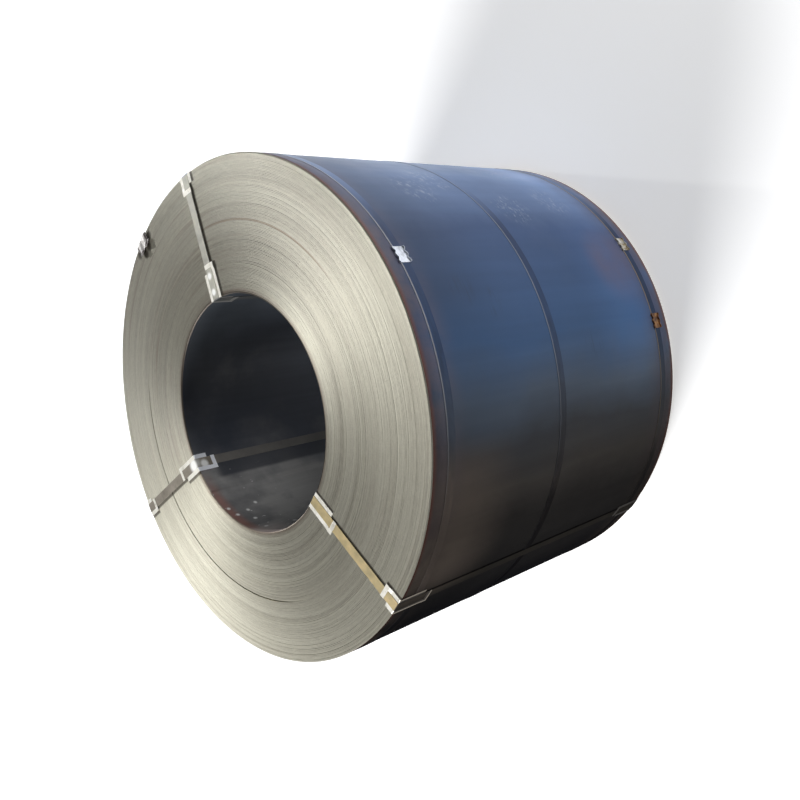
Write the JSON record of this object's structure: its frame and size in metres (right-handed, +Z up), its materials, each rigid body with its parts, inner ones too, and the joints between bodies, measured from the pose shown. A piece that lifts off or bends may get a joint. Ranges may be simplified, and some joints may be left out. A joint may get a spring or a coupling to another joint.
{
  "type": "steel coil",
  "caption": "Hot-rolled steel strip wound into a wide coil with a round eye, held by flat bands and by eye straps over hooked sheet edge protectors.",
  "frame": {"origin": "on the floor, on the axis of the eye", "axes": "+Z up along the eye from the back end to the front end, +X to the right in a view of the front end"},
  "size_m": [1.6014, 1.6016, 1.2554],
  "materials": {
    "coil_steel": "dark mill scale on the barrel, bare grey strip edges on the ends",
    "band_steel": "dark waxed strapping",
    "eye_strap_steel": "dull tan strapping with light rust",
    "plate_steel": "pale zinc-coated sheet",
    "seal_steel": "bright zinc-coated sheet",
    "rusty_steel": "rusted sheet"
  },
  "bodies": {
    "root": {"coil": "coil_steel", "front_band": "band_steel", "middle_band": "band_steel", "back_band": "band_steel", "top_eye_strap": "eye_strap_steel", "left_eye_strap": "eye_strap_steel", "right_eye_strap": "eye_strap_steel", "top_front_outer_protector": "plate_steel", "top_front_inner_protector": "plate_steel", "top_back_outer_protector": "plate_steel", "top_back_inner_protector": "plate_steel", "left_front_outer_protector": "plate_steel", "left_front_inner_protector": "plate_steel", "left_back_outer_protector": "plate_steel", "left_back_inner_protector": "plate_steel", "right_front_outer_protector": "plate_steel", "right_front_inner_protector": "plate_steel", "right_back_outer_protector": "plate_steel", "right_back_inner_protector": "plate_steel", "front_band_seal": "seal_steel", "middle_band_seal": "seal_steel", "back_band_seal": "seal_steel", "back_band_rusty_seal": "rusty_steel"}
  },
  "joints": []
}
